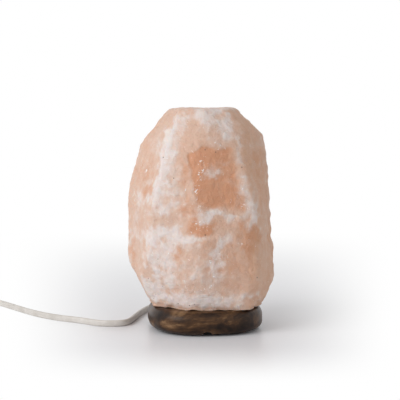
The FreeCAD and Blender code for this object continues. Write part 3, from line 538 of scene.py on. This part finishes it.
def chipFoot(verts, reach):
    # the foot is chipped all round, so it stands on the wood by uneven lumps
    for vertex in verts:
        x, y, z = vertex.co
        high = z - saltPlan["bottom"]
        if high < 8 * mm:
            edge = reach.get(sector(x, y), 0) - fromAxis(x, y)
            loose = smoothStep(9 * mm, 1 * mm, edge) * smoothStep(8 * mm, 0, high)
            ragged = noise.noise(Vector((x * 85, y * 85, 3))) + 0.4 * noise.noise(vertex.co * 230)
            vertex.co.z += saltPlan["rim"] * loose * smoothStep(-0.3, 0.5, ragged) * mm


def rubEdges(bm, skin, worn):
    # proud edges are rubbed white: how far each spot stands over the smoothed surface
    rest = [(vertex, vertex.co.copy()) for vertex in skin]
    relaxed(bm, skin, saltPlan["rounds"]["edges"])
    for vertex, kept in rest:
        vertex[worn] = (kept - vertex.co).dot(vertex.normal) / mm
        vertex.co = kept
    bm.normal_update()


def makeSalt():
    salt = remeshedCopy("salt_crystal", "saltBlock", saltPlan["voxel"])
    bm = bmesh.new()
    bm.from_mesh(salt.data)
    layers = {name: bm.verts.layers.float.new(name) for name in saltPlan["layers"]}
    rounds = saltPlan["rounds"]
    skin = [vertex for vertex in bm.verts if onSkin(vertex)]
    front = [vertex for vertex in skin if onFront(vertex.co)]
    relaxed(bm, skin, rounds["skin"])
    relaxed(bm, front, rounds["front"])
    relaxed(bm, [vertex for vertex in skin if onShoulder(vertex.co)], rounds["shoulder"])
    relaxed(bm, skin, rounds["last"])
    reach = footReach(skin)
    moves = [(vertex, carved(vertex, layers)) for vertex in skin]
    for vertex, move in moves:
        vertex.co += move
        vertex.co.z = max(vertex.co.z, saltPlan["bottom"])
    chipFoot(bm.verts, reach)
    rubEdges(bm, skin, layers["worn"])
    bm.to_mesh(salt.data)
    bm.free()
    smoothAll(salt)
    return salt


def saltMaterial():
    material, tree, shader = newMaterial("rockSalt", Roughness=0.5, Specular_IOR_Level=0.34, IOR=1.54,
                                         Subsurface_Weight=0.25, Subsurface_Scale=0.004)
    shader.inputs["Subsurface Radius"].default_value = (1.0, 0.6, 0.4)
    named = {name: node(tree, "Attribute", attribute_name=name).outputs["Fac"]
             for name in saltPlan["layers"]}
    coords = node(tree, "TexCoord").outputs["Object"]
    tints = {name: (*color, 1) for name, color in saltPlan["tints"].items()}

    def centred(value, by, plus):
        return sums(tree, "MULTIPLY_ADD", sums(tree, "SUBTRACT", value, 0.5), by, plus)

    haze = objectNoise(tree, 48, 6, 0.6, 0.5)
    wisps = objectNoise(tree, 150, 7, 0.68, 1.4)
    streaks = objectNoise(tree, 120, 5, 0.6, 0.6, stretch=(1.6, 1.6, 0.5), shift=(0.3, 0.1, 0.2))
    grain = objectNoise(tree, 800, 3, 0.6)
    # how milky: clouds, the ridge band with its painted highlight, and worn edges, frayed by fine noise
    milky = centred(haze, 0.9, sums(tree, "MULTIPLY_ADD", named["milk"], 1.15, 0.02))
    milky = centred(wisps, 0.85, milky)
    milky = centred(streaks, 0.5, milky)
    milky = sums(tree, "MULTIPLY_ADD", named["worn"], 0.5, milky)
    milky = sums(tree, "MULTIPLY_ADD", named["clear"], -0.35, milky)
    milky = centred(grain, 0.4, milky)
    clear = centred(objectNoise(tree, 80, 5, 0.6, 0.8, shift=(5, 2, 1)), 0.9, named["clear"])
    salmon = ramp(tree, objectNoise(tree, 30, 4, 0.6, shift=(1, 7, 3)), saltPlan["salmon"])
    deep = node(tree, "MapRange", {0: clear, 1: 0.1, 2: 0.8}).outputs[0]
    color = colorMix(tree, deep, salmon, tints["deep"])
    # painted shade: darker tan mixed in on faces turned to the right
    tan = colorMix(tree, deep, tints["tan"], tints["deepTan"])
    color = colorMix(tree, sums(tree, "MULTIPLY", named["warm"], 0.75), color, tan)
    pale = node(tree, "MapRange", {0: milky, 1: -0.1, 2: 0.75}).outputs[0]
    white = node(tree, "MapRange", {0: milky, 1: 0.3, 2: 1.4}, interpolation_type="SMOOTHSTEP").outputs[0]
    color = colorMix(tree, sums(tree, "MULTIPLY", pale, 0.45), color, tints["pale"])
    color = colorMix(tree, sums(tree, "MULTIPLY", white, 0.95), color, tints["white"])
    # grit: few dark specks, more where clay is caught
    specks = node(tree, "TexVoronoi", {"Vector": coords, "Scale": 230.0, "Randomness": 1.0})
    dot = node(tree, "MapRange", {0: specks.outputs["Distance"], 1: 0.08, 2: 0.16, 3: 1.0, 4: 0.0}).outputs[0]
    rare = node(tree, "SeparateColor", {0: specks.outputs["Color"]}).outputs[0]
    wanted = sums(tree, "MULTIPLY_ADD", named["grit"], -0.9, 0.965)
    dot = sums(tree, "MULTIPLY", dot, sums(tree, "GREATER_THAN", rare, wanted))
    color = colorMix(tree, sums(tree, "MULTIPLY", dot, 0.75), color, tints["clay"])
    # painted highlight: tiny glints painted near-white into the colour in clusters, with lower roughness
    # there
    paintedGlintNoise = objectNoise(tree, 560, 3, 0.6, 0.9, stretch=(1.0, 1.0, 0.75), shift=(0.7, 0.3, 0.9))
    paintedGlintNoise = sums(tree, "MULTIPLY_ADD", named["glint"], 0.12, paintedGlintNoise)
    lit = node(tree, "MapRange", {0: paintedGlintNoise, 1: 0.68, 2: 0.735}).outputs[0]
    color = colorMix(tree, sums(tree, "MULTIPLY", lit, 0.85), color, tints["glint"])
    tree.links.new(color, shader.inputs["Base Color"])
    rough = node(tree, "MapRange", {0: wisps, 1: 0.3, 2: 0.7, 3: 0.38, 4: 0.62}).outputs[0]
    rough = sums(tree, "SUBTRACT", rough, sums(tree, "MULTIPLY", lit, 0.3), clamp=True)
    tree.links.new(rough, shader.inputs["Roughness"])
    crystals = node(tree, "TexVoronoi", {"Vector": coords, "Scale": 480.0}, feature="SMOOTH_F1")
    height = sums(tree, "MULTIPLY_ADD", crystals.outputs["Distance"], 0.6, grain)
    first = node(tree, "Bump", {"Strength": 0.6, "Distance": 0.0007, "Height": height})
    second = node(tree, "Bump", {"Strength": 0.6, "Distance": 0.0022, "Height": wisps,
                                 "Normal": first.outputs[0]})
    tree.links.new(second.outputs[0], shader.inputs["Normal"])
    return material


salt = makeSalt()
dress(salt, saltMaterial())
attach(salt, "lamp")
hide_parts("salt_crystal")
print("salt carved,", len(salt.data.polygons), "faces")

# wooden base: turned, waxed and a little uneven
woodPlan = {
    "voxel": 1.0 * mm, "rounds": 2, "axis": (4 * mm, -3 * mm), "boreClear": 41 * mm, "grooveAt": 6 * mm,
    "grooveHalf": 6 * mm, "wave": 0.35 * mm, "marks": 0.08 * mm, "gloss": (0.28, 0.44),
    "stain": [(0.50, (0.010, 0.004, 0.002)), (0.62, (0.034, 0.0155, 0.007)), (0.72, (0.084, 0.040, 0.0165)),
              (0.84, (0.215, 0.122, 0.060))],
}


def makeWood():
    wood = remeshedCopy("wood_base", "woodenBase", woodPlan["voxel"])
    bm = bmesh.new()
    bm.from_mesh(wood.data)
    axisX, axisY = woodPlan["axis"]
    outer = [v for v in bm.verts if math.hypot(v.co.x - axisX, v.co.y - axisY) > woodPlan["boreClear"]
             and abs(v.co.x - woodPlan["grooveAt"]) > woodPlan["grooveHalf"]]
    relaxed(bm, outer, woodPlan["rounds"])
    for vertex in outer:
        co = vertex.co
        shift = woodPlan["wave"] * (noise.noise(co * 45) - 0.35) + woodPlan["marks"] * noise.noise(co * 160)
        vertex.co = co + vertex.normal * shift
    bm.to_mesh(wood.data)
    bm.free()
    smoothAll(wood)
    return wood


def woodMaterial():
    material, tree, shader = newMaterial("stainedWood", Roughness=0.34, Specular_IOR_Level=0.2)
    coords = node(tree, "TexCoord").outputs["Object"]
    tilted = node(tree, "Mapping", {0: coords, 2: (0.1, 0.12, 0.5)}).outputs[0]

    def streaked(stretch, scale, detail, rough, distortion):
        placed = node(tree, "Mapping", {0: tilted, 3: stretch}).outputs[0]
        return node(tree, "TexNoise", {"Vector": placed, "Scale": scale, "Detail": detail,
                                       "Roughness": rough, "Distortion": distortion}).outputs[0]

    fibre = streaked((0.12, 1.0, 1.3), 330.0, 5.0, 0.65, 0.5)
    figure = streaked((0.55, 1.0, 1.1), 36.0, 6.0, 0.62, 1.2)
    rings = node(tree, "TexWave", {"Vector": tilted, "Scale": 22.0, "Distortion": 6.0, "Detail": 3.0,
                                   "Detail Scale": 1.2}, bands_direction="Z").outputs["Fac"]
    mixed = sums(tree, "MULTIPLY_ADD", figure, 1.0,
                 sums(tree, "MULTIPLY_ADD", fibre, 0.22, sums(tree, "MULTIPLY", rings, 0.1)))
    color = ramp(tree, mixed, woodPlan["stain"])
    tree.links.new(color, shader.inputs["Base Color"])
    shiny, dull = woodPlan["gloss"]
    rough = node(tree, "MapRange", {0: figure, 1: 0.3, 2: 0.7, 3: shiny, 4: dull}).outputs[0]
    tree.links.new(rough, shader.inputs["Roughness"])
    bump = node(tree, "Bump", {"Strength": 0.22, "Distance": 0.0003, "Height": fibre})
    tree.links.new(bump.outputs[0], shader.inputs["Normal"])
    return material


wood = makeWood()
dress(wood, woodMaterial())
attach(wood, "lamp")
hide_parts("wood_base")
print("wooden base carved")

# finishes of the small parts that keep their CAD shapes
finishPlan = {
    # color, roughness, metal, grain scale, bump, and how far the color wanders
    "felt": ((0.035, 0.035, 0.038), 0.95, 0.0, 1500, 0.6, 0.4),
    "steel": ((0.55, 0.55, 0.56), 0.38, 1.0, 900, 0.15, 0.12),
    "nickel": ((0.66, 0.64, 0.60), 0.22, 1.0, 500, 0.08, 0.08),
    "brass": ((0.70, 0.50, 0.24), 0.3, 1.0, 600, 0.1, 0.12),
    "white_plastic": ((0.78, 0.76, 0.72), 0.38, 0.0, 1100, 0.12, 0.05),
    "black_plastic": ((0.02, 0.02, 0.02), 0.45, 0.0, 1100, 0.12, 0.2),
    "cream_insulator": ((0.66, 0.60, 0.50), 0.5, 0.0, 900, 0.15, 0.06),
    "dowel_plastic": ((0.48, 0.48, 0.46), 0.5, 0.0, 900, 0.12, 0.06),
    "brown_insulation": ((0.14, 0.055, 0.022), 0.4, 0.0, 900, 0.1, 0.1),
    "blue_insulation": ((0.02, 0.07, 0.28), 0.4, 0.0, 900, 0.1, 0.1),
    "tungsten": ((0.16, 0.16, 0.17), 0.35, 1.0, 1200, 0.1, 0.1),
    "tie_plastic": ((0.03, 0.03, 0.032), 0.4, 0.0, 900, 0.12, 0.2),
}


def plainFinish(name, color, roughness, metal, scale, bumpiness, wander):
    material, tree, shader = newMaterial(name, Roughness=roughness, Metallic=metal)
    cloudy = objectNoise(tree, scale * 0.12, 5, 0.6)
    grain = objectNoise(tree, scale, 3, 0.6)
    dark = [channel * (1 - wander) for channel in color]
    light = [min(1, channel * (1 + wander)) for channel in color]
    tree.links.new(ramp(tree, cloudy, [(0.3, dark), (0.7, light)]), shader.inputs["Base Color"])
    rough = node(tree, "MapRange", {0: cloudy, 1: 0.3, 2: 0.7, 3: roughness * 0.85,
                                    4: min(1, roughness * 1.2)})
    tree.links.new(rough.outputs[0], shader.inputs["Roughness"])
    bump = node(tree, "Bump", {"Strength": bumpiness, "Distance": 0.0003, "Height": grain})
    tree.links.new(bump.outputs[0], shader.inputs["Normal"])
    return material


finishes = {name: plainFinish(name, *values) for name, values in finishPlan.items()}
finishes["bulb_glass"], _, glassShader = newMaterial("bulbGlass", Roughness=0.02, IOR=1.5, Alpha=0.25)
glassShader.inputs["Base Color"].default_value = (0.97, 0.97, 0.96, 1)
for part in frame["record"]["subparts"]:
    finish = finishes.get(part["material_slot"])
    if finish and part["node"] in nodes:
        dress(nodes[part["node"]], finish)
print("finishes on")

# floor, backdrop and light
studioPlan = {
    "size": 9, "wall": 4, "bend": 1.5,
    "floor": (0.87, 0.87, 0.895), "white": 1.0,
    "sideFade": (0.06, 0.18), "frontFade": (-0.08, -0.215), "backFade": (0.0, 0.78),
    "window": {"at": (-1.25, -0.85, 0.85), "wide": 1.05, "power": 15.9},
    "fill": {"at": (1.1, -1.2, 0.7), "wide": 1.6, "power": 2.2},
    "sky": 0.49, "around": 1.0,
}


def makeStudio():
    bm = bmesh.new()
    far = studioPlan["size"] - 0.1
    bmesh.ops.create_grid(bm, x_segments=1, y_segments=1, size=studioPlan["size"])
    back = [edge for edge in bm.edges if all(v.co.y > far for v in edge.verts)]
    grown = bmesh.ops.extrude_edge_only(bm, edges=back)["geom"]
    top = [item for item in grown if isinstance(item, bmesh.types.BMVert)]
    bmesh.ops.translate(bm, verts=top, vec=(0, 0, studioPlan["wall"]))
    bend = [edge for edge in bm.edges if all(v.co.y > far and v.co.z < 0.1 for v in edge.verts)]
    bmesh.ops.bevel(bm, geom=bend, offset=studioPlan["bend"], segments=16, profile=0.5, affect="EDGES",
                    material=-1)
    sweep = meshFrom("sweep", bm)
    material, tree, shader = newMaterial("paleSweep", Roughness=0.35, Specular_IOR_Level=0.35)
    coords = node(tree, "TexCoord").outputs["Object"]
    x, y, _ = node(tree, "SeparateXYZ", {0: coords}).outputs
    depth = sums(tree, "ADD", y, -cameraPlan["at"][1])
    sideways = sums(tree, "ABSOLUTE", sums(tree, "DIVIDE", x, depth))
    shader.inputs["Base Color"].default_value = (*studioPlan["floor"], 1)
    bright = node(tree, "Emission", {0: grey(1), 1: studioPlan["white"]})
    kept = 1.0
    for value, (near, far) in ((sideways, studioPlan["sideFade"]), (y, studioPlan["frontFade"]),
                               (y, studioPlan["backFade"])):
        fade = node(tree, "MapRange", {0: value, 1: near, 2: far, 3: 1.0, 4: 0.0},
                    interpolation_type="SMOOTHSTEP")
        kept = sums(tree, "MULTIPLY", fade.outputs[0], kept)
    away = sums(tree, "SUBTRACT", 1.0, kept)
    seen = backdropRays(tree)
    faded = sums(tree, "MULTIPLY", away, seen)
    blend = node(tree, "MixShader", {0: faded, 1: shader.outputs[0], 2: bright.outputs[0]})
    out = next(item for item in tree.nodes if item.type == "OUTPUT_MATERIAL")
    tree.links.new(blend.outputs[0], out.inputs[0])
    dress(sweep, material)

    for name in ("window", "fill"):
        plan = studioPlan[name]
        data = bpy.data.lights.new(name, "AREA")
        data.shape = "SQUARE"
        data.size = plan["wide"]
        data.energy = plan["power"]
        lamp = bpy.data.objects.new(name, data)
        world.collection.objects.link(lamp)
        lamp.location = plan["at"]
        lamp.rotation_euler = (Vector((0, 0, 0.1)) - lamp.location).to_track_quat("-Z", "Y").to_euler()

    sky = bpy.data.worlds.new("studio")
    world.world = sky
    sky.use_nodes = True
    # the backdrop beyond the sweep shows white and lights the lamp at the plain level
    background = sky.node_tree.nodes["Background"]
    background.inputs[0].default_value = grey(1)
    seen = backdropRays(sky.node_tree)
    plain, around = studioPlan["sky"], studioPlan["around"]
    level = sums(sky.node_tree, "MULTIPLY_ADD", seen, around - plain, plain)
    sky.node_tree.links.new(level, background.inputs[1])
    world.view_settings.view_transform = "Standard"


makeStudio()
print("studio lit")
